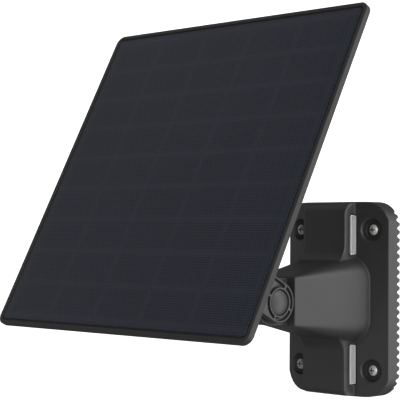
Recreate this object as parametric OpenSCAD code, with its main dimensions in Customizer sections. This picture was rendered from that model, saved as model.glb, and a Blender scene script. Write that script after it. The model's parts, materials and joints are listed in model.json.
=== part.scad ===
// Small outdoor solar panel on a wall or pole bracket, tilting on a clamped fork joint.
// Millimetres. Z is up, X runs across the panel and Y runs towards the wall.
// The origin is the centre of the four-screw pattern, on the plane that meets the wall.

/* [Panel] */
// Width of the panel
panel_w = 220.8; // [200:0.1:260]
// Height of the panel along its slope
panel_h = 218.5; // [200:0.1:260]
// Thickness of the panel at its edge
panel_t = 4.2; // [4:0.1:6]
// Radius of the panel's corners
panel_r = 6; // [5:0.5:12]
// Width of the raised rim round the panel's face
rim_w = 2.6; // [2:0.1:4]
// Number of columns of cells
cell_columns = 5; // [3:1:8]
// Number of rows of cells
cell_rows = 9; // [4:1:12]

/* [Tilt] */
// Angle of the panel's face above straight out
tilt = 27.7; // [0:0.1:60]
// Distance of the tilt axis from the wall
pivot_out = 87; // [86:0.5:100]
// Distance from the tilt axis to the back of the panel
neck_reach = 104.4; // [90:0.1:130]
// Height of the panel's centre above the neck, along the panel's slope
panel_rise = 36.5; // [20:0.1:45]

/* [Base] */
// Width of the base across its front edges
base_w = 88; // [84:1:110]
// Height of the base
base_h = 130.9; // [128:0.1:160]
// Radius of the base's corners
base_r = 17.5; // [8:0.5:20]
// Sideways distance between the mounting screws
screw_span_x = 64; // [60:1:66]
// Upright distance between the mounting screws
screw_span_z = 94; // [90:1:98]
// How far the sloping flanges fall back towards the wall at their outer edges
flange_fall = 5.9; // [4:0.1:7]
// Number of teeth along each side
tooth_count = 22; // [12:1:22]
// Upright distance from tooth to tooth
tooth_pitch = 5.35; // [4:0.05:5.4]
// Depth of the teeth
tooth_depth = 2.8; // [1.5:0.1:4]

/* [Block and arm] */
// Width of the raised block at the flanges
block_w = 39.3; // [38:0.1:44]
// How far the block stands out of the flanges
block_out = 8.9; // [7:0.1:10]
// Width of the arm at its outer end
arm_end_w = 32; // [32:0.5:36]
// Height of the arm at its outer end
arm_end_h = 32; // [31:0.5:34]
// Width of the arm where it meets the flanges
arm_root_w = 61.4; // [56:0.2:64]
// Height of the arm where it meets the flanges
arm_root_h = 60; // [56:0.5:61]

/* [Strap slots] */
// Length of each strap slot
slot_len = 26.3; // [26.2:0.1:28]
// Width of each strap slot
slot_gap = 5.6; // [5.4:0.1:6]
// Height of the slots' centres above and below the middle of the base
slot_rise = 43.5; // [43:0.1:45]

/* [Joint] */
// Radius of the round fork cheeks
cheek_r = 13; // [12.8:0.1:13.2]
// Radius of the round lug between the cheeks
lug_r = 15.2; // [14:0.1:15.2]
// Half the width of the lug
lug_half = 8.6; // [7:0.1:9]
// Thickness of the friction discs
disc_t = 0.9; // [0.8:0.1:1.5]
// Radius of the pivot bolt
bolt_r = 3; // [2.5:0.5:3]
// Radius of the joint's round caps
cap_r = 8.4; // [8:0.1:8.5]

/* [Hidden] */
$fn = 64;

hair = 0.05;                          // running clearance, and overlap of joined shapes
wall = 2.4;                           // wall of the bracket moulding
base_up = 0.45;                       // height of the base's middle above the screws' middle
block_end_in = 0.5;                   // how much shorter the block is than the base at each end
block_top_r = 8;                      // radius along the block's top edge
block_low_r = 4;                      // radius along the block's bottom edge
arm_end_r = 1.5;                      // corner radius at the arm's outer end
arm_root_r = 17;                      // corner radius at the arm's root
rib_rise = 26.5;                      // height of the long ribs above the middle
rib_t = 2;
short_rib_x = 12;

// Places along Y on the bracket, measured from the wall
side_y = -(tooth_depth + 8.8);        // outer front edge of the flanges
crease_y = side_y - flange_fall;      // where the flanges meet the block
block_y = crease_y - block_out;       // front face of the block
arm_end_y = -pivot_out + cheek_r + 0.6;
flange_slope = flange_fall / (base_w / 2 - block_w / 2);
side_draft = 0.8;                     // how much further out the sides are at the wall
block_draft = 0.6;                    // how much further in the block's sides are at its front
block_edge = 1;                       // bevel along the block's upright edges
arm_root_y = crease_y + 3.5;          // where the arm starts, inside the base
arm_blend_r = 13;                     // concave blend between the block and the arm
root_wall_x = 4.3;                    // walls left round the hollow at the arm's root
root_wall_z = 5.3;
root_hollow_r = arm_root_r - 5;       // corner radius of that hollow
pole_notch_half = 28;
pole_notch_depth = 6;

// Mounting screws
screw_r = 2;                          // part that stands out of the back
screw_neck_r = 1.7;                   // part inside the post
screw_head_r = 3.55;
screw_head_h = 2.6;
screw_out = 12;                       // length that stands out of the back
recess_r = 7.4;                       // recess round each head, at its mouth
recess_floor_r = 6.9;
point_r = 0.3;                        // blunt point of every screw
cup_wall = 2.1;                       // wall round each recess
post_r = 5;                           // post behind each recess
recess_floor_y = crease_y + 5.8;
recess_mouth_y = crease_y - 0.2;      // just clear of the flange

// Strap sleeves
sleeve_wall = 0.5;
sleeve_half = block_w / 2 - 0.1;
slot_y = crease_y - 0.6;              // middle of the slots

// Places along Y in the head, measured from the tilt axis towards the wall
back_y = -neck_reach;                 // back of the panel
face_y = back_y - panel_t;            // front of the rim
housing_depth = 16;
housing_y = back_y + housing_depth;   // rear face of the housing
foot_t = 4;
foot_y = housing_y + foot_t;
tray_t = 1.7;                         // back plate of the panel's frame
foot_w = 62;
foot_h = 46;
neck_y = foot_y - 0.5;                // where the neck runs into its foot
foot_screw_x = 25.5;
foot_screw_z = 17;

// Joint
fork_half = arm_end_w / 2;            // outer faces of the cheeks
cheek_in = lug_half + disc_t + 0.1;   // inner faces of the cheeks
pocket_depth = 3.6;
seat_x = fork_half - pocket_depth;    // where the bolt's head and the washer sit
bush_wall = 1.48;
disc_r = 11.5;
spring_t = 0.6;
washer_r = 5.6;
hex_r = 5.77;                         // corner radius of a 10 mm hexagon
bolt_head_h = 2.6;
nut_t = 2.8;
fork_root = 20;                       // from the tilt axis to where the neck starts to widen
neck_root_w = 40;                     // neck where it meets its foot
neck_root_h = 31;
channel_end = 46;                     // from the tilt axis to the end of the neck's channel
groove_in = 9.8;
groove_out = 11.8;
groove_depth = 3;
spoke_w = 1.5;

// Housing
housing_w = 86;
housing_h = 72;
housing_wall = 2.2;
gasket_t = 0.8;
ear_x = 37;
ear_z = 30;
board_y = housing_y - 9.5;            // front face of the controller board
board_t = 1.6;
socket_y = back_y + 8;                // middle of the output socket
socket_r = 4;
socket_flange_r = 6.5;
pilot_r = 1.6;
small_screw_r = 1.55;                 // screws of the neck's foot and the housing
small_head_r = 3.1;
small_head_h = 2.1;
head_bore_r = 3.4;                    // bore that takes a corner screw's head
head_sink = 3;                        // depth of that bore
foot_screw_len = 9;
foot_pilot_len = 6.5;
ear_post_r = 4.2;
foot_post_r = 3.4;
board_post_r = 2.6;
board_w = 44;
board_h = 40;
board_screw_r = 1;
board_head_r = 2;
board_head_h = 1.3;
board_screw_len = 6;
board_screw_x = 16;
board_screw_z = 6;
lead_x = -12;                         // middle of the two leads
lead_z = 13;
lead_r = 0.9;
lead_hole_r = 4;
terminal_t = 5;                       // height of the terminal block on the board
socket_len = 14;
plug_r = 2.95;
socket_lip = 3;                       // thickness of the socket's flange

// Laminate
rim_gap = 1.2;                        // width of the sunk seal inside the rim
seal_sink = 0.9;                      // depth of the seal below the rim
recess_w = panel_w - 2 * rim_w;
recess_h = panel_h - 2 * rim_w;
sheet_w = recess_w - 2 * rim_gap;
sheet_h = recess_h - 2 * rim_gap;
tray_y = back_y - tray_t;             // floor of the frame's recess
backing_t = 1.1;
ribbon_t = 0.1;
ribbon_w = 2;
cell_t = 0.2;
film_t = 0.7;
cell_gap = 1.4;
cell_margin = 4.4;                    // bare edge round the cells
field_w = sheet_w - 2 * cell_margin;
field_h = sheet_h - 2 * cell_margin;
cell_w = (field_w - (cell_columns - 1) * cell_gap) / cell_columns;
cell_h = (field_h - (cell_rows - 1) * cell_gap) / cell_rows;

// ---------- Shapes that repeat ----------

// A flat rounded rectangle made of squares and circles, so that it keeps true arcs
module round_rect(w, h, r) {
    square([w - 2 * r, h], center = true);
    square([w, h - 2 * r], center = true);
    for (sx = [-1, 1], sz = [-1, 1])
        translate([sx * (w / 2 - r), sz * (h / 2 - r)]) circle(r);
}

// A plate that lies across Y, from y0 to y1
module plate_y(w, h, r, y0, y1) {
    translate([0, y1, 0]) rotate([90, 0, 0]) linear_extrude(y1 - y0) round_rect(w, h, r);
}

// A round bar along Y, from y0 to y1
module bar_y(r, y0, y1) {
    translate([0, y1, 0]) rotate([90, 0, 0]) cylinder(r = r, h = y1 - y0);
}

// A round bar along X, from x0 to x1
module bar_x(r, x0, x1) {
    translate([x0, 0, 0]) rotate([0, 90, 0]) cylinder(r = r, h = x1 - x0);
}

// A ring along X, from x0 to x1
module ring_x(r_out, r_in, x0, x1) {
    difference() {
        bar_x(r_out, x0, x1);
        bar_x(r_in, x0 - 1, x1 + 1);
    }
}

// A box from one corner to the other
module box(low, high) {
    translate(low) cube(high - low);
}

// Four copies at the corners of a rectangle in the XZ plane
module at_corners(x, z) {
    for (sx = [-1, 1], sz = [-1, 1]) translate([sx * x, 0, sz * z]) children();
}

// Two copies at the controller board's screws
module at_board_screws() {
    for (sx = [-1, 1]) translate([sx * board_screw_x, 0, board_screw_z]) children();
}

// A pan-head screw along Y: its head's underside at y = 0, its head towards +Y,
// its shank and point towards -Y, with a cross recess in the head
module pan_screw(head_r, head_h, shank_r, shank_len) {
    dome_r = head_r * 1.35;
    cross_half = head_r * 0.55;
    cross_t = head_r * 0.26;
    tip = shank_r * 1.5;
    difference() {
        intersection() {
            bar_y(head_r, 0, head_h);
            translate([0, head_h - dome_r, 0]) sphere(dome_r);
        }
        for (turn = [0, 90]) rotate([0, turn, 0])
            box([-cross_half, head_h * 0.4, -cross_t / 2], [cross_half, head_h + 1, cross_t / 2]);
    }
    bar_y(shank_r, tip - shank_len, hair);
    translate([0, tip - shank_len + hair, 0]) rotate([90, 0, 0])
        cylinder(r1 = shank_r, r2 = point_r, h = tip);
}

// Places the head's parts: from the tilt axis, leaned back by the tilt
module in_head() {
    translate([0, -pivot_out, 0]) rotate([-tilt, 0, 0]) children();
}

// ---------- Bracket ----------

// Plan of the base seen from above, shrunk by inset on its outer sides
module base_plan(inset, back) {
    front = inset * sqrt(1 + flange_slope * flange_slope);
    edge = base_w / 2 - inset;
    half = block_w / 2 - inset;
    top = half - block_draft;
    polygon([
        [-edge - side_draft, back], [edge + side_draft, back],
        [edge, side_y + front],
        [half + inset * flange_slope, crease_y + front],
        [top, block_y + inset + block_edge], [top - block_edge, block_y + inset],
        [-top + block_edge, block_y + inset], [-top, block_y + inset + block_edge],
        [-half - inset * flange_slope, crease_y + front],
        [-edge, side_y + front]
    ]);
}

// Side view of the flanges and the block, as a shape whose first axis is Y and second is Z.
// The block's upper edge is rounded broadly and its lower edge less.
module side_view(inset, back) {
    front = block_y + inset;
    high = base_h / 2 - block_end_in - inset;
    translate([crease_y - 0.4, -base_h / 2]) square([back + 1 - crease_y, base_h]);
    translate([front - 1, block_low_r - high]) square([back - front, 2 * high - block_top_r - block_low_r]);
    translate([front + block_low_r, -high]) square([back - front - block_low_r, high]);
    translate([front + block_top_r, 0]) square([back - front - block_top_r, high]);
    translate([front + block_top_r, high - block_top_r]) circle(block_top_r);
    translate([front + block_low_r, block_low_r - high]) circle(block_low_r);
}

// Base and block, without the arm
module base_solid(inset, back) {
    translate([0, 0, base_up]) intersection() {
        translate([0, 0, -base_h / 2]) linear_extrude(base_h) base_plan(inset, back);
        plate_y(base_w + 2 * side_draft - 2 * inset, base_h - 2 * inset, base_r - inset,
                block_y - 1, back + 1);
        rotate([90, 0, 90]) linear_extrude(2 * base_w, center = true) side_view(inset, back);
    }
}

// The tapering arm, shrunk by inset
module arm_solid(inset, end_y) {
    end_x = arm_end_w / 2 - inset - arm_end_r;
    end_z = arm_end_h / 2 - inset - arm_end_r;
    hull() {
        for (sx = [-1, 1], sz = [-1, 1]) {
            translate([sx * end_x, end_y, sz * end_z]) bar_y(arm_end_r, 0, 1, $fn = 24);
            translate([sx * (arm_root_w / 2 - arm_root_r), arm_root_y, sz * (arm_root_h / 2 - arm_root_r)])
                bar_y(arm_root_r - inset, -1, 0, $fn = 48);
        }
    }
}

// Concave blend between the block's face and the arm, on the upper side
module arm_blend() {
    low_z = arm_root_h / 2 - 7;
    top_z = low_z + arm_blend_r;
    half = block_w / 2 - block_draft - block_edge;
    difference() {
        box([-half, block_y - arm_blend_r, low_z - 4], [half, block_y + 1, top_z]);
        translate([0, block_y - arm_blend_r, top_z]) bar_x(arm_blend_r, -base_w, base_w);
    }
}

module teeth_cut() {
    span = tooth_count * tooth_pitch;
    tip = 1.75;                       // half the gap's width at the wall
    root = 0.35;                      // half the gap's width at its bottom
    for (sx = [-1, 1], k = [0:tooth_count])
        translate([sx * base_w / 2 - 4, 0, k * tooth_pitch - span / 2])
            rotate([90, 0, 90]) linear_extrude(8)
                polygon([[-tooth_depth, -root], [-tooth_depth, root], [0.1, tip], [0.1, -tip]]);
}

module screw_posts() {
    at_corners(screw_span_x / 2, screw_span_z / 2) {
        bar_y(recess_r + cup_wall, crease_y + 2.2, recess_floor_y + 2);
        bar_y(post_r, recess_floor_y, 0);
    }
}

module screw_holes() {
    at_corners(screw_span_x / 2, screw_span_z / 2) {
        translate([0, recess_floor_y, 0]) rotate([90, 0, 0])
            cylinder(r1 = recess_floor_r, r2 = recess_r, h = recess_floor_y - recess_mouth_y);
        bar_y(screw_r + 0.15, recess_floor_y - 1, 1);
    }
}

// Two long ribs across the hollow, and short ones at the top and bottom walls
module ribs() {
    half = base_w / 2 - 1;
    reach = base_h / 2 - 5;
    for (z = [-rib_rise, rib_rise])
        box([-half, crease_y + 4, z - rib_t / 2], [half, -5, z + rib_t / 2]);
    for (x = [-short_rib_x, short_rib_x], side = [0, 1])
        translate([0, 0, base_up]) mirror([0, 0, side])
            box([x - rib_t / 2, crease_y + 5, reach], [x + rib_t / 2, -6, reach + 4]);
}

module lug() {
    difference() {
        union() {
            bar_x(lug_r, -lug_half, lug_half);
            box([-lug_half, 0, -lug_r], [lug_half, cheek_r + 3, lug_r]);
        }
        bar_x(bolt_r + bush_wall + 0.02, -base_w, base_w);
    }
}

// The moulding's hollow, open towards the wall
module hollow() {
    base_solid(wall, 1);
    arm_solid(wall, arm_end_y + 4);
    plate_y(arm_root_w - 2 * root_wall_x, arm_root_h - 2 * root_wall_z, root_hollow_r, crease_y + 0.7, 1.7);
}

// Openings that the strap sleeves sit in, and notches for a pole in the two end walls
module strap_and_pole_cuts() {
    reach = block_w / 2 + 1.7;
    for (sz = [-1, 1])
        box([-reach, slot_y - slot_gap / 2, sz * slot_rise - slot_len / 2],
            [reach, slot_y + slot_gap / 2, sz * slot_rise + slot_len / 2]);
    linear_extrude(base_h + 2, center = true)
        polygon([[-pole_notch_half, 1], [pole_notch_half, 1], [0, -pole_notch_depth]]);
}

module bracket_body() {
    color([0.13, 0.13, 0.13]) {
        difference() {
            union() {
                difference() {
                    union() {
                        base_solid(0, 0);
                        arm_solid(0, arm_end_y);
                        arm_blend();
                        mirror([0, 0, 1]) arm_blend();
                    }
                    hollow();
                }
                intersection() {
                    union() {
                        screw_posts();
                        ribs();
                    }
                    base_solid(0.4, -0.01);
                }
            }
            screw_holes();
            teeth_cut();
            strap_and_pole_cuts();
        }
        translate([0, -pivot_out, 0]) lug();
    }
}

module strap_sleeve(z) {
    translate([0, slot_y, z]) difference() {
        box([-sleeve_half, -slot_gap / 2 + hair, -slot_len / 2 + hair],
            [sleeve_half, slot_gap / 2 - hair, slot_len / 2 - hair]);
        box([-sleeve_half - 1, -slot_gap / 2 + sleeve_wall + hair, -slot_len / 2 + sleeve_wall + hair],
            [sleeve_half + 1, slot_gap / 2 - sleeve_wall - hair, slot_len / 2 - sleeve_wall - hair]);
    }
}

module strap_sleeve_upper() {
    color([0.75, 0.75, 0.76]) strap_sleeve(slot_rise);
}

module strap_sleeve_lower() {
    color([0.75, 0.75, 0.76]) strap_sleeve(-slot_rise);
}

// Each screw has a thinner neck inside its post and its full thickness beyond the base's back
module mounting_screws() {
    tip = screw_r * 1.5;
    color([0.8, 0.8, 0.78])
        at_corners(screw_span_x / 2, screw_span_z / 2) {
            translate([0, recess_floor_y, 0]) rotate([180, 0, 0])
                pan_screw(screw_head_r, screw_head_h, screw_neck_r, tip - recess_floor_y);
            bar_y(screw_r, 0, screw_out - tip);
            translate([0, screw_out - tip, 0]) rotate([-90, 0, 0])
                cylinder(r1 = screw_r, r2 = point_r, h = tip);
        }
}

// ---------- Joint ----------

module pivot_bush() {
    color([0.75, 0.6, 0.3]) translate([0, -pivot_out, 0])
        ring_x(bolt_r + bush_wall, bolt_r + hair, -lug_half, lug_half);
}

module friction_disc(side) {
    translate([0, -pivot_out, 0]) mirror([side < 0 ? 1 : 0, 0, 0])
        ring_x(disc_r, bolt_r + 0.1, lug_half, lug_half + disc_t);
}

module friction_disc_right() {
    color([0.2, 0.2, 0.2]) friction_disc(1);
}

module friction_disc_left() {
    color([0.2, 0.2, 0.2]) friction_disc(-1);
}

module pivot_bolt() {
    color([0.7, 0.7, 0.7]) in_head() {
        bar_x(bolt_r, -fork_half + 0.4, seat_x + hair);
        translate([seat_x, 0, 0]) rotate([0, 90, 0]) cylinder(r = hex_r, h = bolt_head_h, $fn = 6);
    }
}

module pivot_nut() {
    color([0.7, 0.7, 0.7]) in_head() difference() {
        translate([-seat_x - spring_t - nut_t, 0, 0]) rotate([0, 90, 0])
            cylinder(r = hex_r, h = nut_t, $fn = 6);
        bar_x(bolt_r + 0.01, -fork_half - 5, 0);
    }
}

module spring_washer() {
    color([0.65, 0.65, 0.65]) in_head()
        ring_x(washer_r, bolt_r + 0.1, -seat_x - spring_t, -seat_x);
}

// A round cap with a low dome and a skirt that presses into the cheek's pocket
module cap() {
    dome_h = 1.5;
    dome_r = (cap_r * cap_r + dome_h * dome_h) / (2 * dome_h);
    skirt_h = 1.8;
    skirt_r = cap_r - 1.8;
    translate([fork_half, 0, 0]) rotate([0, 90, 0]) rotate_extrude() {
        intersection() {
            translate([0, dome_h - dome_r]) circle(dome_r, $fn = 256);
            square([cap_r, dome_h + 1]);
        }
        translate([skirt_r, -skirt_h]) square([cap_r - skirt_r, skirt_h + hair]);
    }
}

module cap_right() {
    color([0.35, 0.35, 0.35]) in_head() cap();
}

module cap_left() {
    color([0.35, 0.35, 0.35]) in_head() mirror([1, 0, 0]) cap();
}

// Grooves in the outer face of the right cheek: a ring in four parts and a channel along the neck
module cheek_grooves() {
    difference() {
        ring_x(groove_out, groove_in, fork_half - groove_depth, fork_half + 1);
        box([0, -20, -spoke_w / 2], [20, 20, spoke_w / 2]);
        box([0, -spoke_w / 2, -20], [20, spoke_w / 2, 20]);
    }
    box([fork_half - groove_depth, -channel_end, groove_in],
        [fork_half + 1, -spoke_w / 2, groove_out]);
}

module fork_arm() {
    color([0.3, 0.3, 0.3]) in_head() difference() {
        union() {
            bar_x(cheek_r, -fork_half, fork_half);
            box([-fork_half, -fork_root, -cheek_r], [fork_half, 0, cheek_r]);
            hull() {
                plate_y(2 * fork_half, 2 * cheek_r, 0.4, -fork_root - 1, -fork_root);
                plate_y(neck_root_w, neck_root_h, 3, neck_y, neck_y + 1);
            }
            plate_y(foot_w, foot_h, 6, housing_y, foot_y);
        }
        // Gap for the lug
        box([-cheek_in, -lug_r - 2.3, -20], [cheek_in, 20, 20]);
        bar_x(bolt_r + hair, -20, 20);
        for (m = [0, 1]) mirror([m, 0, 0]) {
            cheek_grooves();
            bar_x(cap_r + hair, seat_x, fork_half + 1);
        }
        at_corners(foot_screw_x, foot_screw_z) bar_y(pilot_r, housing_y - 1, foot_y + 1);
    }
}

module fork_screws() {
    color([0.75, 0.75, 0.74]) in_head() at_corners(foot_screw_x, foot_screw_z)
        translate([0, foot_y, 0]) pan_screw(small_head_r, small_head_h, small_screw_r, foot_screw_len);
}

// ---------- Housing on the panel's back ----------

module rear_housing() {
    color([0.16, 0.16, 0.16]) in_head() difference() {
        union() {
            difference() {
                plate_y(housing_w, housing_h, 7, back_y + gasket_t, housing_y);
                plate_y(housing_w - 2 * housing_wall, housing_h - 2 * housing_wall, 5,
                        back_y, housing_y - housing_wall);
            }
            // Posts for the corner screws, the neck's screws and the board
            at_corners(ear_x, ear_z) bar_y(ear_post_r, back_y + gasket_t, housing_y - 1);
            at_corners(foot_screw_x, foot_screw_z)
                bar_y(foot_post_r, housing_y - foot_pilot_len - 1, housing_y - 1);
            at_board_screws() bar_y(board_post_r, board_y + board_t, housing_y - 1);
        }
        at_corners(ear_x, ear_z) {
            bar_y(pilot_r, back_y, housing_y + 1);
            bar_y(head_bore_r, housing_y - head_sink, housing_y + 1);
        }
        at_corners(foot_screw_x, foot_screw_z)
            bar_y(pilot_r, housing_y - foot_pilot_len, housing_y + 1);
        at_board_screws() bar_y(board_screw_r + hair, board_y, housing_y - 3);
        // Hole for the output socket in the lower wall
        translate([0, socket_y, -housing_h / 2]) cylinder(r = socket_r + 0.1, h = 20, center = true);
    }
}

module housing_gasket() {
    color([0.1, 0.1, 0.1]) in_head() difference() {
        plate_y(housing_w - 0.6, housing_h - 0.6, 6.7, back_y, back_y + gasket_t);
        plate_y(housing_w - 5, housing_h - 5, 5, back_y - 1, back_y + gasket_t + 1);
    }
}

module housing_screws() {
    color([0.75, 0.75, 0.74]) in_head() at_corners(ear_x, ear_z)
        translate([0, housing_y - head_sink, 0])
            pan_screw(small_head_r, small_head_h, small_screw_r, housing_depth - head_sink + 1);
}

module controller_board() {
    color([0.1, 0.35, 0.2]) in_head() difference() {
        translate([0, 0, -3]) plate_y(board_w, board_h, 2, board_y, board_y + board_t);
        at_board_screws() bar_y(board_screw_r + 0.2, board_y - 1, board_y + 3);
    }
}

// Coil, capacitor, driver chip and terminal block on the front of the board
module board_components() {
    color([0.25, 0.25, 0.28]) in_head() {
        translate([-9, 0, -9]) bar_y(4.5, board_y - 4.5, board_y);
        translate([4, 0, -14]) bar_y(2.6, board_y - 5, board_y);
        box([6, board_y - 1.4, -7], [13, board_y, 0]);
        box([lead_x - 5, board_y - terminal_t, lead_z - 2], [lead_x + 5, board_y, lead_z + 2.5]);
    }
}

module board_screws() {
    color([0.75, 0.75, 0.74]) in_head() at_board_screws()
        translate([0, board_y, 0]) rotate([180, 0, 0])
            pan_screw(board_head_r, board_head_h, board_screw_r, board_screw_len);
}

// Two leads from the laminate to the terminal block
module panel_leads() {
    color([0.6, 0.1, 0.1]) in_head() for (x = [lead_x - 2, lead_x + 2])
        translate([x, 0, lead_z]) bar_y(lead_r, tray_y, board_y - terminal_t);
}

module output_socket() {
    color([0.08, 0.08, 0.08]) in_head() translate([0, socket_y, -housing_h / 2]) difference() {
        union() {
            translate([0, 0, -socket_lip]) cylinder(r = socket_flange_r, h = socket_lip);
            translate([0, 0, -socket_lip]) cylinder(r = socket_r, h = socket_len);
        }
        translate([0, 0, -socket_lip - 1]) cylinder(r = plug_r + hair, h = 10);
    }
}

module socket_nut() {
    color([0.1, 0.1, 0.1]) in_head() translate([0, socket_y, housing_wall - housing_h / 2])
        difference() {
            cylinder(r = socket_r + 1.4, h = 3, $fn = 6);
            translate([0, 0, -1]) cylinder(r = socket_r + hair, h = 5);
        }
}

module socket_plug() {
    pull_t = 1.8;
    color([0.15, 0.15, 0.15]) in_head() translate([0, socket_y, -housing_h / 2 - socket_lip]) {
        cylinder(r = plug_r, h = 5);
        translate([0, 0, -pull_t]) cylinder(r = socket_flange_r - 0.3, h = pull_t);
    }
}

// ---------- Panel ----------

// A plate in the panel's plane, centred on the panel
module sheet(w, h, r, y0, y1) {
    translate([0, 0, panel_rise]) plate_y(w, h, r, y0, y1);
}

module panel_frame() {
    color([0.12, 0.12, 0.12]) in_head() difference() {
        sheet(panel_w, panel_h, panel_r, face_y, back_y);
        sheet(recess_w, recess_h, panel_r - rim_w, face_y - 1, tray_y);
        // Opening for the leads, and pilot holes for the housing's screws
        translate([lead_x, 0, lead_z]) bar_y(lead_hole_r, tray_y - 1, back_y + 1);
        at_corners(ear_x, ear_z) bar_y(pilot_r, tray_y - 1, back_y + 1);
    }
}

module edge_seal() {
    color([0.05, 0.05, 0.05]) in_head() difference() {
        sheet(recess_w, recess_h, panel_r - rim_w, face_y + seal_sink, tray_y);
        sheet(sheet_w, sheet_h, panel_r - rim_w - rim_gap, tray_y - 3, tray_y + 1);
    }
}

module backing_board() {
    color([0.08, 0.1, 0.12]) in_head()
        sheet(sheet_w, sheet_h, panel_r - rim_w - rim_gap, tray_y - backing_t, tray_y);
}

// Middle of each column, and of each row
function column_x(c) = (c - (cell_columns - 1) / 2) * (cell_w + cell_gap);
function row_z(r) = panel_rise + (r - (cell_rows - 1) / 2) * (cell_h + cell_gap);

module cell_ribbons() {
    y1 = tray_y - backing_t;
    reach = field_h / 2;
    half = ribbon_w / 2;
    color([0.7, 0.7, 0.7]) in_head() {
        for (c = [0:cell_columns - 1])
            translate([column_x(c), 0, panel_rise])
                box([-half, y1 - ribbon_t, -reach], [half, y1, reach]);
        for (side = [-1, 1])
            translate([0, 0, panel_rise + side * (reach + half - 0.2)])
                box([column_x(0) - half, y1 - ribbon_t, -half],
                    [column_x(cell_columns - 1) + half, y1, half]);
    }
}

module solar_cells() {
    y1 = tray_y - backing_t - ribbon_t;
    color([0.1, 0.12, 0.17]) in_head()
        for (c = [0:cell_columns - 1], r = [0:cell_rows - 1])
            translate([column_x(c), 0, row_z(r)])
                box([-cell_w / 2, y1 - cell_t, -cell_h / 2], [cell_w / 2, y1, cell_h / 2]);
}

module front_film() {
    y1 = tray_y - backing_t - ribbon_t - cell_t;
    color([0.12, 0.14, 0.18]) in_head()
        sheet(sheet_w, sheet_h, panel_r - rim_w - rim_gap, y1 - film_t, y1);
}

bracket_body();
strap_sleeve_upper();
strap_sleeve_lower();
mounting_screws();
pivot_bush();
friction_disc_right();
friction_disc_left();
pivot_bolt();
pivot_nut();
spring_washer();
cap_right();
cap_left();
fork_arm();
fork_screws();
rear_housing();
housing_gasket();
housing_screws();
controller_board();
board_components();
board_screws();
panel_leads();
output_socket();
socket_nut();
socket_plug();
panel_frame();
edge_seal();
backing_board();
cell_ribbons();
solar_cells();
front_film();
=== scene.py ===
"""Looks for a small solar panel on its tilting wall bracket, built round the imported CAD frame."""

import json
import math

import bmesh
import bpy
from mathutils import Matrix, Vector


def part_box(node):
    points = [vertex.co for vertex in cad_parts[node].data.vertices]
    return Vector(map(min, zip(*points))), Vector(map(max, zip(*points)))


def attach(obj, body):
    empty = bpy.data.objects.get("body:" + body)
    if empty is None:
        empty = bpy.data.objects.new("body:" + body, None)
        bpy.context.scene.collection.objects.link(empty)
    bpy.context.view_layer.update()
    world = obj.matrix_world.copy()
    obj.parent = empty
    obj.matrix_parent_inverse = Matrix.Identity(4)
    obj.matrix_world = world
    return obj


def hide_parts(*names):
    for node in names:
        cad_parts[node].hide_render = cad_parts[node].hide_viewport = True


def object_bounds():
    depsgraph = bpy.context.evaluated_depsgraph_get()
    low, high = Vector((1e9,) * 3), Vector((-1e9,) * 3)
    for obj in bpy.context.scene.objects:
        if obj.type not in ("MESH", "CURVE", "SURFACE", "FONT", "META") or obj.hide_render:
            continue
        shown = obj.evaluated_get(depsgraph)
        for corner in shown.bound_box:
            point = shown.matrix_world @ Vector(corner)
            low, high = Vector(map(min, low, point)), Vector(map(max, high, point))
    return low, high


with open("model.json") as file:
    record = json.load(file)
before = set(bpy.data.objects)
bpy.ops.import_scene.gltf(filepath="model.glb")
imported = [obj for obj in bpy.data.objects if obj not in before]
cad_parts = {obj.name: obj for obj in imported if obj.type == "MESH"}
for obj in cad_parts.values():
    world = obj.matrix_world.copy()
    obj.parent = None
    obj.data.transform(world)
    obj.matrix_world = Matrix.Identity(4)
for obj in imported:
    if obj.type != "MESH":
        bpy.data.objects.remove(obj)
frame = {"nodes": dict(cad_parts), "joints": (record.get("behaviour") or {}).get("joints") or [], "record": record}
cad_low, cad_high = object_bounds()

MM = 0.001
BRACKET = "bracket"
HEAD = "panel_head"

# Rounding of the moulded parts
BRACKET_VOXEL = 0.5 * MM
FORK_VOXEL = 0.42 * MM
HOUSING_VOXEL = 0.6 * MM
BRACKET_PASSES = 3
SOFTER_PASSES = 36
FORK_PASSES = 4
HOUSING_PASSES = 4
SMOOTH_FACTOR = 0.5
SOFTENED_WELD = 0.005 * MM

# Edges steeper than these stay sharp, or are bevelled
SOFTENED_SHARP = math.radians(28)
BUILT_SHARP = math.radians(35)
BEVEL_FROM = math.radians(40)

# Pieces of a curve
CORNER_STEPS = 10
TURN_STEPS = 96
DOME_STEPS = 14

# Surfaces
NOISE_ROUGHNESS = 0.55
PLASTIC_GRAIN_DEPTH = 0.02 * MM
METAL_LINE_DEPTH = 0.006 * MM
# Colours of the painted shade laid into crevices
PLASTIC_PAINTED_SHADE = (0.004, 0.004, 0.004)
METAL_PAINTED_SHADE = (0.02, 0.02, 0.02)

# Embossed film over the cells
DIMPLE_PITCH = 1.7 * MM
GRID_BLUR = 3.0 * MM
HALF_CELL_GAP = 0.7 * MM
CELLS_APART = 3 * MM
FINGER_PITCH = 1.9 * MM


# ---------- Places read from the frame ----------

def head_radius(node):
    """Radius of a screw head, from the upper right screw's own points in the frame."""
    points = [v.co for v in frame["nodes"][node].data.vertices if v.co.x > 0 and v.co.z > 0]
    return (max(p.x for p in points) - min(p.x for p in points)) / 2


def largest_face_normal(node):
    """Outward direction of a CAD node's largest flat face that looks towards -Y."""
    faces = [p for p in frame["nodes"][node].data.polygons if p.normal.y < -0.1]
    return max(faces, key=lambda p: p.area).normal.copy()


tilt_joint = frame["joints"][0]
pivot = Vector(tilt_joint["pos_m"])
panel_normal = largest_face_normal("front_film")
lean = math.atan2(panel_normal.z, -panel_normal.y)

# From the head's own axes (origin on the tilt axis, -Y towards the panel) to the frame
head_place = Matrix.Translation(pivot) @ Matrix.Rotation(-lean, 4, "X")


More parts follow.
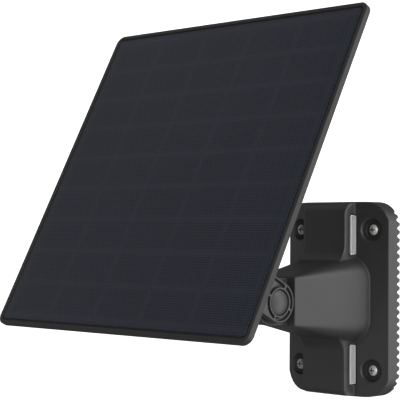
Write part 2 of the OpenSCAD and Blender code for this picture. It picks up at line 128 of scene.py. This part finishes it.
def head_box(node):
    """Lowest and highest corner of a CAD node along the head's own axes."""
    back = head_place.inverted()
    points = [back @ v.co for v in frame["nodes"][node].data.vertices]
    low = Vector([min(p[i] for p in points) for i in range(3)])
    high = Vector([max(p[i] for p in points) for i in range(3)])
    return low, high


# ---------- Node helpers ----------

class Nodes:
    """A short way to write a material's node tree."""

    def __init__(self, name):
        self.material = bpy.data.materials.new(name)
        self.material.use_nodes = True
        self.tree = self.material.node_tree
        self.tree.nodes.clear()
        self.out = self.add("ShaderNodeOutputMaterial")
        self.shader = self.add("ShaderNodeBsdfPrincipled")
        self.tree.links.new(self.shader.outputs[0], self.out.inputs["Surface"])

    def add(self, kind, **settings):
        made = self.tree.nodes.new(kind)
        for key, value in settings.items():
            setattr(made, key, value)
        return made

    def put(self, value, socket):
        """Links an output to a socket, or sets the socket to a plain value."""
        if isinstance(value, bpy.types.NodeSocket):
            self.tree.links.new(value, socket)
        else:
            socket.default_value = value

    def math(self, operation, a, b=0.0, clamp=False):
        made = self.add("ShaderNodeMath", operation=operation, use_clamp=clamp)
        self.put(a, made.inputs[0])
        self.put(b, made.inputs[1])
        return made.outputs[0]

    def noise(self, scale, detail, vector=None):
        made = self.add("ShaderNodeTexNoise")
        made.inputs["Scale"].default_value = scale
        made.inputs["Detail"].default_value = detail
        made.inputs["Roughness"].default_value = NOISE_ROUGHNESS
        self.put(self.coords() if vector is None else vector, made.inputs["Vector"])
        return made.outputs[0]

    def coords(self):
        """Places on the object in metres, which stay with it as it moves."""
        return self.add("ShaderNodeTexCoord").outputs["Object"]

    def head_coords(self):
        """Places along the head's own axes, in metres."""
        mapping = self.add("ShaderNodeMapping", vector_type="TEXTURE")
        mapping.inputs["Location"].default_value = pivot
        mapping.inputs["Rotation"].default_value = (-lean, 0, 0)
        self.put(self.coords(), mapping.inputs["Vector"])
        return mapping.outputs[0]

    def split(self, vector):
        made = self.add("ShaderNodeSeparateXYZ")
        self.put(vector, made.inputs[0])
        return made.outputs

    def join(self, x, y, z):
        made = self.add("ShaderNodeCombineXYZ")
        for value, socket in zip((x, y, z), made.inputs):
            self.put(value, socket)
        return made.outputs[0]

    def scaled(self, value, low, high, from_low=0.0, from_high=1.0):
        """A value moved from one range to another, and held inside it."""
        made = self.add("ShaderNodeMapRange")
        ends = {"From Min": from_low, "From Max": from_high, "To Min": low, "To Max": high}
        for key, number in ends.items():
            made.inputs[key].default_value = number
        self.put(value, made.inputs["Value"])
        return made.outputs[0]

    def mix(self, factor, a, b):
        """A colour between a and b."""
        made = self.add("ShaderNodeMix", data_type="RGBA")
        self.put(factor, made.inputs[0])
        self.put((*a, 1) if isinstance(a, tuple) else a, made.inputs[6])
        self.put((*b, 1) if isinstance(b, tuple) else b, made.inputs[7])
        return made.outputs[2]

    def bump(self, height, distance, strength=1.0):
        made = self.add("ShaderNodeBump")
        made.inputs["Strength"].default_value = strength
        made.inputs["Distance"].default_value = distance
        self.put(height, made.inputs["Height"])
        return made.outputs[0]

    def finish(self, color, roughness, normal=None, metallic=0.0, **fixed):
        """Links the shader; fixed holds its constant inputs, with _ for each space in their names."""
        self.put((*color, 1) if isinstance(color, tuple) else color, self.shader.inputs["Base Color"])
        self.put(roughness, self.shader.inputs["Roughness"])
        self.shader.inputs["Metallic"].default_value = metallic
        if normal is not None:
            self.put(normal, self.shader.inputs["Normal"])
        for key, value in fixed.items():
            self.shader.inputs[key.replace("_", " ")].default_value = value
        return self.material


def out_of_painted_shade(n, reach, power):
    """1 on open surfaces, falling to 0 in crevices about as wide as reach: the mask for painted shade in crevices.
    """
    hollow = n.add("ShaderNodeAmbientOcclusion", samples=8)
    hollow.inputs["Distance"].default_value = reach
    return n.math("POWER", hollow.outputs["AO"], power)


def moulded_plastic(name, dark, light, roughness, grain=0.35 * MM, gloss=0.5, shade_reach=0.0):
    """Plastic with a fine grain, faint flow shading, and painted shade, darker and duller, in crevices up to a
    given width.
    """
    n = Nodes(name)
    flow = n.noise(28, 2)
    cloud = n.noise(140, 3)
    fine = n.noise(1 / grain, 2)
    tone = n.math("ADD", n.math("MULTIPLY", flow, 0.6), n.math("MULTIPLY", cloud, 0.4))
    color = n.mix(n.scaled(tone, 0, 1, 0.35, 0.65), dark, light)
    rough = n.math("ADD", n.scaled(cloud, -0.04, 0.04),
                   n.scaled(fine, roughness - 0.05, roughness + 0.05))
    if shade_reach:
        # Painted shade: crevices darken towards the painted shade colour and turn rougher
        unshaded_part = out_of_painted_shade(n, shade_reach, 2.2)
        color = n.mix(unshaded_part, PLASTIC_PAINTED_SHADE, color)
        rough = n.math("ADD", rough, n.scaled(unshaded_part, 0.5, 0.0), clamp=True)
    return n.finish(color, rough, n.bump(fine, PLASTIC_GRAIN_DEPTH), Specular_IOR_Level=gloss)


def brushed_metal(name, color, roughness, along=(1, 1, 0.04), metallic=1.0, shade_reach=0.0):
    """Metal with fine brushing, duller patches, and painted shade in crevices up to a given width.

    The brushing is stretched along the axis whose number in along is small; (1, 1, 1) is unbrushed.
    """
    n = Nodes(name)
    stretched = n.add("ShaderNodeMapping")
    stretched.inputs["Scale"].default_value = along
    n.put(n.coords(), stretched.inputs["Vector"])
    lines = n.noise(9000, 3, stretched.outputs[0])
    patches = n.noise(160, 3)
    pale = tuple(min(1.0, c * 1.12) for c in color)
    dull = tuple(c * 0.8 for c in color)
    tone = n.math("ADD", n.math("MULTIPLY", lines, 0.6), n.math("MULTIPLY", patches, 0.4))
    rough = n.math("ADD", n.scaled(lines, roughness - 0.06, roughness + 0.06),
                   n.scaled(patches, -0.05, 0.07))
    shade = n.mix(tone, dull, pale)
    if shade_reach:
        # Painted shade: crevices darken towards the painted shade colour
        shade = n.mix(out_of_painted_shade(n, shade_reach, 3.0), METAL_PAINTED_SHADE, shade)
    return n.finish(shade, rough, n.bump(lines, METAL_LINE_DEPTH), metallic=metallic)


def rubber(name, dark, light, roughness):
    """Dull rubber or fibre with a dusty, uneven surface."""
    n = Nodes(name)
    dust = n.noise(320, 4)
    fine = n.noise(4200, 2)
    return n.finish(n.mix(n.scaled(dust, 0, 1, 0.4, 0.7), dark, light),
                    n.scaled(dust, roughness - 0.08, roughness + 0.08), n.bump(fine, 0.015 * MM))


# ---------- Materials ----------

def film_material():
    """Dark film: a close hexagonal pattern of small raised dots, each painted lighter as a painted sheen on its
    bump, and a faint grid where cells part.
    """
    n = Nodes("film")
    place = n.split(n.head_coords())
    across, up = place[0], place[2]

    def dots(shift):
        """Distance to the nearest dot of one of the two interleaved grids, in pitches."""
        u = n.math("ADD", n.math("DIVIDE", across, DIMPLE_PITCH), shift)
        v = n.math("ADD", n.math("DIVIDE", up, DIMPLE_PITCH * math.sqrt(3)), shift)
        du = n.math("SUBTRACT", n.math("FRACT", u), 0.5)
        dv = n.math("MULTIPLY", n.math("SUBTRACT", n.math("FRACT", v), 0.5), math.sqrt(3))
        return n.math("SQRT", n.math("ADD", n.math("MULTIPLY", du, du), n.math("MULTIPLY", dv, dv)))

    # The two grids are half a pitch apart; the 50 whole pitches only keep the numbers positive
    nearest = n.math("MINIMUM", dots(50.0), dots(50.5))
    dot = n.scaled(nearest, 1, 0, 0.14, 0.46)

    def between_cells(value, low, high, count):
        """1 on the lines between cells, falling to 0 over the blur. The outer cells end at low and high."""
        low, high = low - HALF_CELL_GAP, high + HALF_CELL_GAP
        pitch = (high - low) / count
        t = n.math("FRACT", n.math("DIVIDE", n.math("SUBTRACT", value, low - 100 * pitch), pitch))
        edge = n.math("MINIMUM", t, n.math("SUBTRACT", 1.0, t))
        return n.scaled(edge, 1, 0, 0.0, GRID_BLUR / pitch)

    low, high = head_box("solar_cells")
    columns, rows = cell_counts()
    upright_lines = n.math("MULTIPLY", between_cells(across, low.x, high.x, columns), 0.85)
    grid = n.math("MAXIMUM", upright_lines, between_cells(up, low.z, high.z, rows))
    patches = n.noise(24, 3)
    base = n.mix(n.scaled(patches, 0, 1, 0.35, 0.65),
                 (0.0034, 0.0050, 0.0130), (0.0056, 0.0074, 0.0164))
    base = n.mix(grid, base, (0.0138, 0.0164, 0.0262))
    # Each raised dot is painted lighter: a painted sheen standing in for light caught by its bump
    base = n.mix(dot, base, (0.0305, 0.0350, 0.0520))
    rough = n.math("ADD", n.scaled(dot, 0.50, 0.42), n.scaled(patches, -0.03, 0.03))
    return n.finish(base, rough, n.bump(dot, 0.10 * MM, 0.7), Specular_IOR_Level=0.4)


def runs(values, gap):
    """How many groups the values fall into, where groups lie more than a gap apart."""
    values = sorted(values)
    return 1 + sum(b - a > gap for a, b in zip(values, values[1:]))


def cell_counts():
    """How many columns and rows of cells the frame has, from where the cells' own edges lie."""
    back = head_place.inverted()
    corners = [back @ v.co for v in frame["nodes"]["solar_cells"].data.vertices]
    # Neighbours' edges lie together, so there is one more group of edges than there are cells
    return runs([c.x for c in corners], CELLS_APART) - 1, runs([c.z for c in corners], CELLS_APART) - 1


def board_material():
    """Green solder mask with copper runs under it."""
    n = Nodes("board_green")
    place = n.split(n.head_coords())
    runs = n.add("ShaderNodeTexBrick", offset=0.35)
    runs.inputs["Scale"].default_value = 160
    runs.inputs["Mortar Size"].default_value = 0.03
    n.put(n.join(place[0], place[2], 0.0), runs.inputs["Vector"])
    haze = n.noise(500, 3)
    color = n.mix(runs.outputs["Fac"], (0.010, 0.070, 0.030), (0.030, 0.150, 0.060))
    return n.finish(color, n.scaled(haze, 0.25, 0.42), n.bump(runs.outputs["Fac"], 0.03 * MM))


def cell_material():
    """Blue-black silicon with fine printed fingers."""
    n = Nodes("cell_silicon")
    place = n.split(n.head_coords())
    fingers = n.math("FRACT", n.math("DIVIDE", place[2], FINGER_PITCH))
    line = n.math("LESS_THAN", fingers, 0.07)
    grain = n.noise(420, 2)
    color = n.mix(line, n.mix(grain, (0.010, 0.013, 0.030), (0.018, 0.024, 0.055)), (0.25, 0.25, 0.26))
    return n.finish(color, n.scaled(grain, 0.22, 0.34))


def grey(value):
    return value, value, value


materials = {
    # bracket_plastic and screw_zinc carry painted shade in crevices up to the widths given
    "bracket_plastic": moulded_plastic("bracket_plastic", grey(0.020), grey(0.026), 0.46,
                                       shade_reach=4.5 * MM),
    "fork_plastic": moulded_plastic("fork_plastic", grey(0.024), grey(0.031), 0.48),
    "cap_plastic": moulded_plastic("cap_plastic", grey(0.024), grey(0.031), 0.42, 0.22 * MM),
    "frame_plastic": moulded_plastic("frame_plastic", (0.024, 0.0238, 0.024), (0.031, 0.0305, 0.030), 0.50,
                                     gloss=0.27),
    "housing_plastic": moulded_plastic("housing_plastic", grey(0.018), grey(0.025), 0.52),
    "strap_steel": brushed_metal("strap_steel", (0.77, 0.77, 0.76), 0.5, metallic=0.3),
    "screw_zinc": brushed_metal("screw_zinc", (0.50, 0.50, 0.48), 0.42, (1, 1, 1), metallic=0.3,
                                shade_reach=1.4 * MM),
    "bolt_steel": brushed_metal("bolt_steel", grey(0.62), 0.28, (0.05, 1, 1)),
    "bush_bronze": brushed_metal("bush_bronze", (0.55, 0.36, 0.16), 0.42, (1, 1, 1)),
    "friction_fibre": rubber("friction_fibre", (0.030, 0.028, 0.026), (0.060, 0.056, 0.050), 0.85),
    "seal_rubber": rubber("seal_rubber", grey(0.006), grey(0.014), 0.7),
    "socket_plastic": moulded_plastic("socket_plastic", grey(0.010), grey(0.015), 0.30, 0.5 * MM),
    "component_dark": moulded_plastic("component_dark", (0.012, 0.012, 0.014), (0.040, 0.038, 0.036), 0.4,
                                      0.6 * MM),
    "lead_red": moulded_plastic("lead_red", (0.30, 0.012, 0.010), (0.38, 0.020, 0.016), 0.35, 0.8 * MM),
    "backing": moulded_plastic("backing", (0.010, 0.011, 0.014), (0.016, 0.018, 0.022), 0.6),
    "ribbon_tin": brushed_metal("ribbon_tin", grey(0.66), 0.3),
    "board_green": board_material(),
    "cell_silicon": cell_material(),
    "film": film_material(),
}
slot_of = {part["node"]: part["material_slot"] for part in frame["record"]["subparts"]}


def dress(piece, slot_name):
    """Gives a piece one of the finishes above."""
    piece.data.materials.clear()
    piece.data.materials.append(materials[slot_name])


# ---------- Meshes ----------

def new_piece(name, mesh, body, slot_name, *nodes):
    """A finished mesh as a piece that rides on a body and stands for CAD nodes."""
    piece = bpy.data.objects.new(name, mesh)
    bpy.context.scene.collection.objects.link(piece)
    dress(piece, slot_name)
    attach(piece, body)
    if nodes:
        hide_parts(*nodes)
    return piece


def softened(node, voxel, passes, extra=None, extra_passes=0, crisp=None):
    """A CAD moulding's mesh with its edges rounded.

    They are rounded further where extra(point) is above 0, and less where crisp(point) is.
    """
    work = bpy.data.objects.new("softening", frame["nodes"][node].data.copy())
    bpy.context.scene.collection.objects.link(work)
    work.modifiers.new("weld", "WELD").merge_threshold = SOFTENED_WELD
    remesh = work.modifiers.new("remesh", "REMESH")
    remesh.mode = "VOXEL"
    remesh.voxel_size = voxel
    mesh = evaluated(work)
    work.modifiers.clear()
    work.data = mesh
    if extra:
        group = work.vertex_groups.new(name="extra")
        for v in mesh.vertices:
            weight = extra(v.co)
            if weight > 0:
                group.add([v.index], weight, "REPLACE")
        smooth = work.modifiers.new("extra", "SMOOTH")
        smooth.factor = SMOOTH_FACTOR
        smooth.iterations = extra_passes
        smooth.vertex_group = "extra"
    smooth = work.modifiers.new("smooth", "SMOOTH")
    smooth.factor = SMOOTH_FACTOR
    smooth.iterations = passes
    if crisp:
        group = work.vertex_groups.new(name="soft")
        for v in mesh.vertices:
            group.add([v.index], 1 - crisp(v.co), "REPLACE")
        smooth.vertex_group = "soft"
    mesh = evaluated(work)
    bpy.data.objects.remove(work)
    mesh.polygons.foreach_set("use_smooth", [True] * len(mesh.polygons))
    mesh.set_sharp_from_angle(angle=SOFTENED_SHARP)
    return mesh


def evaluated(piece):
    """A piece's mesh with its modifiers applied."""
    view = bpy.context.evaluated_depsgraph_get()
    view.update()
    return bpy.data.meshes.new_from_object(piece.evaluated_get(view))


def rounded_loop(width, height, radius, centre):
    """Points round a rounded rectangle in the head's XZ plane."""
    radius = max(radius, 0.05 * MM)
    points = []
    corners = ((1, 1, 0), (-1, 1, 90), (-1, -1, 180), (1, -1, 270))
    for sx, sz, start in corners:
        for k in range(CORNER_STEPS + 1):
            a = math.radians(start + 90 * k / CORNER_STEPS)
            x = sx * (width / 2 - radius) + radius * math.cos(a)
            z = sz * (height / 2 - radius) + radius * math.sin(a)
            points.append((centre.x + x, centre.z + z))
    return points


def plate_mesh(name, box_low, box_high, corner, profile):
    """A closed plate: its profile lists (inset from the outline, Y) from one face round to the other."""
    width, height = box_high.x - box_low.x, box_high.z - box_low.z
    centre = (box_low + box_high) / 2
    bm = bmesh.new()
    rings = []
    for inset, y in profile:
        loop = rounded_loop(width - 2 * inset, height - 2 * inset, corner - inset, centre)
        rings.append([bm.verts.new((x, y, z)) for x, z in loop])
    for a, b in zip(rings, rings[1:]):
        for k in range(len(a)):
            j = (k + 1) % len(a)
            bm.faces.new((a[k], a[j], b[j], b[k]))
    bm.faces.new(rings[0][::-1])
    bm.faces.new(rings[-1])
    bmesh.ops.remove_doubles(bm, verts=bm.verts, dist=0.0005 * MM)
    bmesh.ops.recalc_face_normals(bm, faces=bm.faces)
    return from_bmesh(bm, name, head_place)


def lathe_mesh(name, profile, side):
    """A turned shape about the tilt axis: its profile lists (radius, X) from axis to axis.

    A side of -1 mirrors it to -X.
    """
    bm = bmesh.new()
    turn = [2 * math.pi * k / TURN_STEPS for k in range(TURN_STEPS)]
    rings = []
    for radius, x in profile:
        if radius == 0:
            rings.append([bm.verts.new((side * x, 0, 0))])
        else:
            rings.append([bm.verts.new((side * x, radius * math.cos(a), radius * math.sin(a))) for a in turn])
    for a, b in zip(rings, rings[1:]):
        for k in range(TURN_STEPS):
            j = (k + 1) % TURN_STEPS
            corners = [a[k % len(a)], a[j % len(a)], b[j % len(b)], b[k % len(b)]]
            bm.faces.new(list(dict.fromkeys(corners)))
    bmesh.ops.recalc_face_normals(bm, faces=bm.faces)
    return from_bmesh(bm, name, head_place)


def from_bmesh(bm, name, place):
    """A smooth-shaded mesh from a bmesh moved to its place; the bmesh is freed."""
    bm.transform(place)
    mesh = bpy.data.meshes.new(name)
    bm.to_mesh(mesh)
    bm.free()
    mesh.polygons.foreach_set("use_smooth", [True] * len(mesh.polygons))
    mesh.set_sharp_from_angle(angle=BUILT_SHARP)
    return mesh


def arc(cx, cy, radius, start, end, steps=5):
    """Points on an arc, angles in degrees."""
    turns = [math.radians(start + (end - start) * k / steps) for k in range(steps + 1)]
    return [(cx + radius * math.cos(a), cy + radius * math.sin(a)) for a in turns]


# ---------- Bracket ----------

slot_low, slot_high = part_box("strap_sleeve_upper")
block_half = slot_high.x
crease_y = (slot_low.y + slot_high.y) / 2


def ramp(value, length):
    """0 up to a value of 0, rising to 1 over a length."""
    return min(1, max(0, value / length))


def block_edge(p):
    """Where the block's own long edges and its blends with the arm are, for broader rounding."""
    across = 1 - ramp(abs(abs(p.x) - block_half), 5 * MM)
    ahead = ramp(crease_y + 1 * MM - p.y, 3 * MM)
    near = ramp(p.y - (crease_y - 22 * MM), 6 * MM)
    return across * ahead * near


screw_low, screw_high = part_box("mounting_screws")
screw_head_r = head_radius("mounting_screws")
screw_x = screw_high.x - screw_head_r
screw_z = screw_high.z - screw_head_r


def recess_lip(p):
    """Where the rims of the four screw recesses are, which roll over softly into the flanges."""
    off = math.hypot(abs(p.x) - screw_x, abs(p.z) - screw_z)
    beside = 1 - ramp(abs(off - 2 * screw_head_r - 0.6 * MM) - 0.8 * MM, 2 * MM)
    outside = ramp(screw_low.y + 1.2 * MM - p.y, 2 * MM)
    return beside * outside


def softer(p):
    """Where the bracket is rounded further."""
    return max(block_edge(p), recess_lip(p))


def arm_root(p):
    """Where the arm's sides meet the flanges in a sharp crease, which stays crisp."""
    across = 1 - ramp(abs(abs(p.x) - 28 * MM) - 5 * MM, 1 * MM)
    along = 1 - ramp(abs(p.y - crease_y - 2 * MM) - 4 * MM, 1 * MM)
    beside = 1 - ramp(abs(p.z) - 29 * MM, 2 * MM)
    return across * along * beside


bracket_mesh = softened("bracket_body", BRACKET_VOXEL, BRACKET_PASSES, softer, SOFTER_PASSES, arm_root)
new_piece("bracket_shell", bracket_mesh, BRACKET, "bracket_plastic", "bracket_body")

# ---------- Fork, housing and caps ----------

fork_mesh = softened("fork_arm", FORK_VOXEL, FORK_PASSES)
new_piece("fork", fork_mesh, HEAD, "fork_plastic", "fork_arm")
housing_mesh = softened("rear_housing", HOUSING_VOXEL, HOUSING_PASSES)
new_piece("housing", housing_mesh, HEAD, "housing_plastic", "rear_housing")


def cap_mesh(name, side):
    """A shallow dome whose edge rolls down into the cheek's pocket."""
    low, high = head_box("cap_right")
    radius = (high.z - low.z) / 2
    roll = 0.9 * MM
    dome_r = radius - 0.45 * MM
    rise = 2.3 * MM
    sphere = (dome_r ** 2 + rise ** 2) / (2 * rise)
    dome = [(0, high.x)]
    for k in range(1, DOME_STEPS + 1):
        r = (dome_r - roll * 0.6) * k / DOME_STEPS
        dome.append((r, high.x - sphere + math.sqrt(sphere ** 2 - r ** 2)))
    last_r, last_x = dome[-1]
    edge = [(last_r + 0.35 * MM, last_x - 0.18 * MM), (dome_r, last_x - 0.6 * MM),
            (dome_r, low.x), (0, low.x)]
    return lathe_mesh(name, dome + edge, side)


new_piece("cap_dome_right", cap_mesh("cap_dome_right", 1), HEAD, "cap_plastic", "cap_right")
new_piece("cap_dome_left", cap_mesh("cap_dome_left", -1), HEAD, "cap_plastic", "cap_left")

# ---------- Panel ----------

panel_low, panel_high = head_box("panel_frame")
seal_low, seal_high = head_box("edge_seal")
film_low, film_high = head_box("front_film")
panel_corner = 6 * MM  # the CAD's panel_r
rim = seal_low.x - panel_low.x


def frame_mesh():
    """The panel's frame: a tray with a rounded rim in front and a shallow step round its back."""
    front, back, floor = panel_low.y, panel_high.y, seal_high.y
    soft = 0.55 * MM
    lip, step, inward = 7 * MM, 0.35 * MM, 20 * MM
    profile = [(rim + inward, floor), (rim, floor), (rim, front + soft)]
    profile += arc(rim - soft, front + soft, soft, 0, -90)
    profile += arc(soft, front + soft, soft, -90, -180)
    profile += arc(soft, back - soft, soft, 180, 90)
    profile += [(lip, back), (lip + step, back - step), (lip + inward, back - step)]
    return plate_mesh("panel_tray", panel_low, panel_high, panel_corner, profile)


def film_mesh():
    """The front film, with a fine rounded edge."""
    front, back = film_low.y, film_high.y
    soft, inward = 0.3 * MM, 12 * MM
    profile = [(inward, back), (0, back), (0, front + soft)]
    profile += arc(soft, front + soft, soft, 180, 270, 4)
    profile += [(inward, front)]
    corner = panel_corner - (film_low.x - panel_low.x)
    return plate_mesh("cover_film", film_low, film_high, corner, profile)


new_piece("panel_tray", frame_mesh(), HEAD, "frame_plastic", "panel_frame")
new_piece("cover_film", film_mesh(), HEAD, "film", "front_film")

# ---------- CAD nodes that stay ----------

# Bevel widths in mm
BEVELS = {
    "strap_sleeve_upper": 0.12, "strap_sleeve_lower": 0.12, "mounting_screws": 0.15, "pivot_bush": 0.15,
    "friction_disc_right": 0.1, "friction_disc_left": 0.1, "pivot_bolt": 0.25, "pivot_nut": 0.25,
    "spring_washer": 0.1, "fork_screws": 0.12, "housing_screws": 0.12, "housing_gasket": 0.15,
    "controller_board": 0.1, "board_components": 0.3, "board_screws": 0.1, "panel_leads": 0.1,
    "output_socket": 0.3, "socket_nut": 0.25, "socket_plug": 0.4, "edge_seal": 0.15,
    "backing_board": 0.1, "cell_ribbons": 0.02, "solar_cells": 0.03,
}
for node, size in BEVELS.items():
    part = frame["nodes"][node]
    dress(part, slot_of[node])
    part.modifiers.new("weld", "WELD").merge_threshold = 0.002 * MM
    bevel = part.modifiers.new("bevel", "BEVEL")
    bevel.width = size * MM
    bevel.segments = 2
    bevel.limit_method = "ANGLE"
    bevel.angle_limit = BEVEL_FROM
# The nodes that the pieces above stand for
for node in ("bracket_body", "fork_arm", "rear_housing", "cap_right", "cap_left", "panel_frame",
             "front_film"):
    dress(frame["nodes"][node], slot_of[node])

# ---------- Floor, backdrop, lights and camera ----------

scene = bpy.context.scene
scene.view_settings.view_transform = "Standard"


def stage_material(name, value, glow):
    """Pale paper that glows enough to stay white however the object is lit."""
    n = Nodes(name)
    speck = n.noise(6, 2)
    color = n.mix(speck, grey(value), grey(value * 0.985))
    return n.finish(color, 0.9, Emission_Color=(1, 1, 1, 1), Emission_Strength=glow)


def bowl_backdrop():
    """A pale floor that curves up all round the object, and that only the camera sees."""
    below = 0.22
    floor_z = cad_low.z - below
    reach, radius, height, steps, curve_steps = 3.2, 1.0, 3.5, 64, 16
    line = [(0.5 * reach, floor_z)]
    line += [(reach - radius + radius * math.sin(a), floor_z + radius - radius * math.cos(a))
             for a in [math.radians(90 * k / curve_steps) for k in range(curve_steps + 1)]]
    line += [(reach, floor_z + height)]
    bm = bmesh.new()
    turns = [2 * math.pi * k / steps for k in range(steps)]
    rows = [[bm.verts.new((r * math.cos(a), r * math.sin(a), z)) for a in turns] for r, z in line]
    bm.faces.new(rows[0])
    for a, b in zip(rows, rows[1:]):
        for k in range(steps):
            bm.faces.new((a[k], a[(k + 1) % steps], b[(k + 1) % steps], b[k]))
    bmesh.ops.recalc_face_normals(bm, faces=bm.faces)
    mesh = bpy.data.meshes.new("backdrop")
    bm.to_mesh(mesh)
    bm.free()
    mesh.polygons.foreach_set("use_smooth", [True] * len(mesh.polygons))
    piece = bpy.data.objects.new("backdrop", mesh)
    scene.collection.objects.link(piece)
    piece.visible_diffuse = piece.visible_glossy = piece.visible_shadow = False
    piece.data.materials.append(stage_material("backdrop", 0.9, 1.0))


# The camera stands in front and to the right, a little above the screws' middle, and looks slightly up
camera_yaw = math.radians(45.692)
camera_pitch = math.radians(1.351)
camera_roll = math.radians(0.374)
camera_place = Vector((0.6194, -0.7485, 0.0442))
ahead = Vector((-math.sin(camera_yaw) * math.cos(camera_pitch),
                math.cos(camera_yaw) * math.cos(camera_pitch), math.sin(camera_pitch)))
level = Vector((math.cos(camera_yaw), math.sin(camera_yaw), 0))
upright = level.cross(ahead)
right = math.cos(camera_roll) * level + math.sin(camera_roll) * upright
top = -math.sin(camera_roll) * level + math.cos(camera_roll) * upright
camera_data = bpy.data.cameras.new("camera")
camera_data.lens = 125.54
camera = bpy.data.objects.new("camera", camera_data)
scene.collection.objects.link(camera)
camera.matrix_world = Matrix.Translation(camera_place) @ Matrix((right, top, -ahead)).transposed().to_4x4()
camera_data.clip_start, camera_data.clip_end = 0.01, 50
scene.camera = camera

bowl_backdrop()
middle = Vector((0, -0.1, 0.03))


def soft_light(name, direction, distance, size, radiance):
    """An area light that faces the object's middle, as bright as its radiance says at any distance."""
    place = middle + Vector(direction).normalized() * distance
    light = bpy.data.lights.new(name, "AREA")
    light.shape = "RECTANGLE"
    light.size, light.size_y = size
    light.energy = math.pi * size[0] * size[1] * radiance
    holder = bpy.data.objects.new(name, light)
    scene.collection.objects.link(holder)
    holder.location = place
    holder.rotation_mode = "QUATERNION"
    holder.rotation_quaternion = (middle - place).to_track_quat("-Z", "Y")


soft_light("key_back_right", (0.84, 0.54, 0.0), 1.5, (1.8, 2.9), 2.1)
soft_light("front_right", (0.80, -0.58, 0.12), 2.9, (0.91, 2.17), 10)
soft_light("front_low", (-0.25, -0.93, -0.22), 1.6, (1.0, 0.8), 0.85)
soft_light("fill_left", (-0.84, -0.34, 0.42), 1.6, (1.1, 1.1), 0.18)
soft_light("low_left", (-0.92, -0.39, -0.05), 1.6, (0.9, 1.2), 0.42)
soft_light("upper_left", (-0.62, -0.12, 0.76), 1.6, (0.9, 0.9), 0.34)
soft_light("upper_right", (0.72, 0.24, 0.65), 1.6, (0.7, 0.7), 2.4)
soft_light("floor_bounce", (0.15, -0.15, -0.98), 1.3, (1.6, 1.6), 0.4)
world = bpy.data.worlds.new("studio")
scene.world = world
world.use_nodes = True
background = world.node_tree.nodes["Background"]
background.inputs["Color"].default_value = (1, 1, 1, 1)
background.inputs["Strength"].default_value = 0.13
